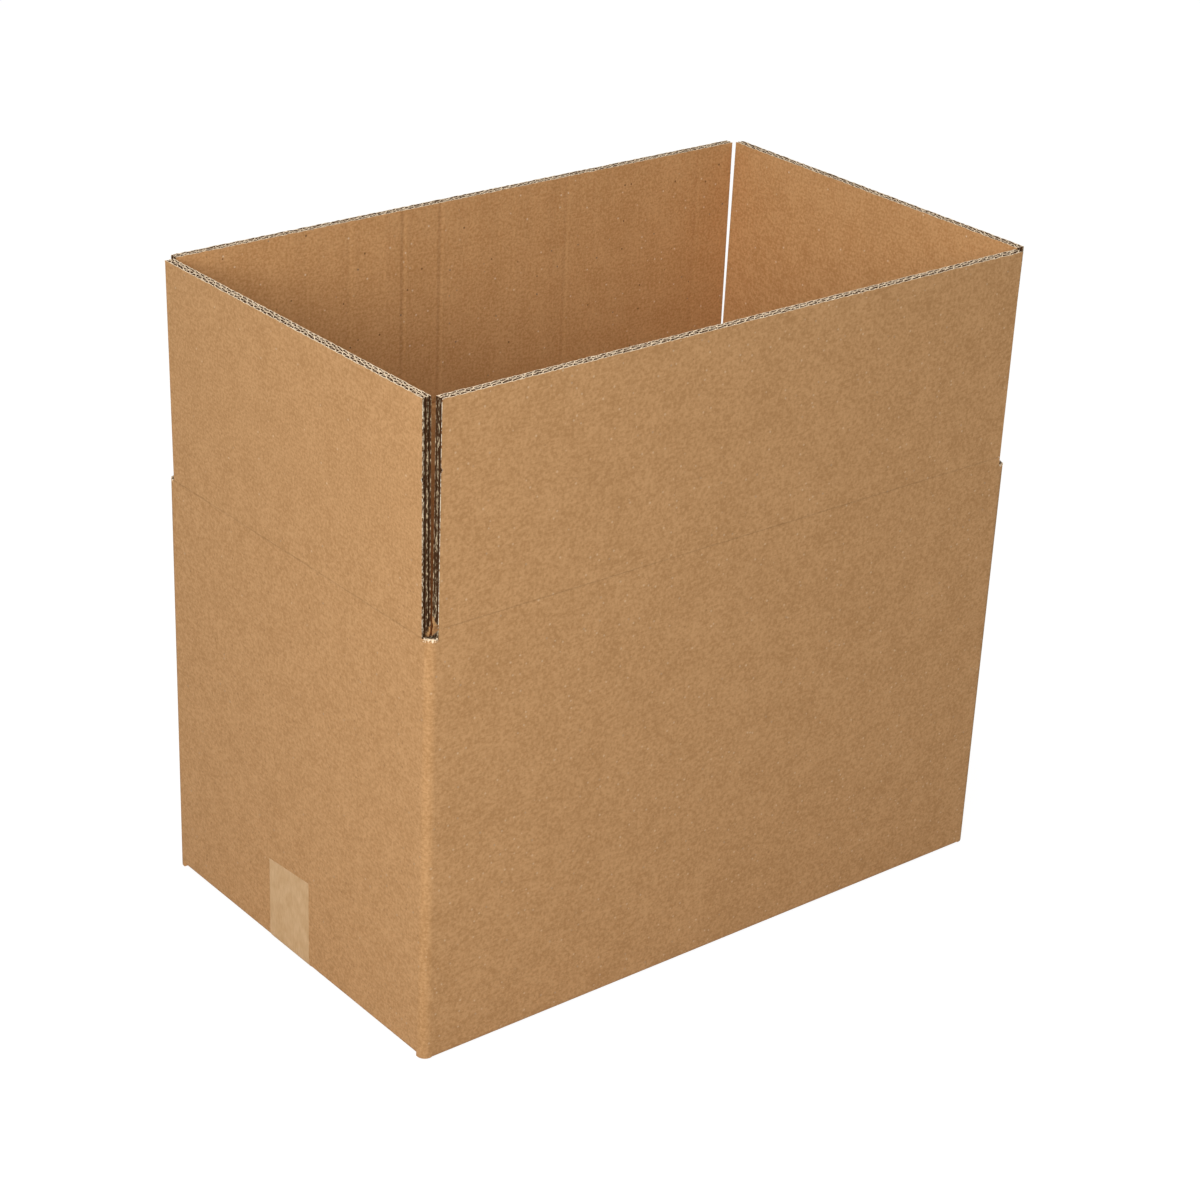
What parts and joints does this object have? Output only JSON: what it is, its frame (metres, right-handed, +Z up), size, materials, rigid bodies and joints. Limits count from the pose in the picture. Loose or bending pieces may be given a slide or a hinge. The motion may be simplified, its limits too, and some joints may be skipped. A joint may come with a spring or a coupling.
{
  "type": "corrugated shipping box",
  "caption": "Kraft double-wall corrugated shipping box, slotted type, bottom closed with paper tape, top flaps standing open.",
  "frame": {"origin": "on the table, in the middle of the base", "axes": "+Z up, +X along the long walls, the front long wall at -Y, the glue lap inside the back right corner"},
  "size_m": [0.518, 0.314, 0.4801],
  "materials": {
    "kraft_board": "matte",
    "flap_board": "matte",
    "paper_tape": "satin"
  },
  "bodies": {
    "box": {"box_body": "kraft_board", "bottom_tape": "paper_tape"},
    "front": {"front_flap": "flap_board"},
    "back": {"back_flap": "flap_board"},
    "left": {"left_flap": "flap_board"},
    "right": {"right_flap": "flap_board"}
  },
  "joints": [
    {"name": "front_flap_fold", "type": "hinge", "parent": "box", "child": "front", "pos_m": [0, -0.157, 0.325], "axis": [-1, 0, 0], "range_deg": [-175, 90]},
    {"name": "back_flap_fold", "type": "hinge", "parent": "box", "child": "back", "pos_m": [0, 0.157, 0.325], "axis": [1, 0, 0], "range_deg": [-175, 90]},
    {"name": "left_flap_fold", "type": "hinge", "parent": "box", "child": "left", "pos_m": [-0.257, 0, 0.3179], "axis": [0, 1, 0], "range_deg": [-174, 90.7]},
    {"name": "right_flap_fold", "type": "hinge", "parent": "box", "child": "right", "pos_m": [0.257, 0, 0.3179], "axis": [0, -1, 0], "range_deg": [-174, 90.7]}
  ]
}
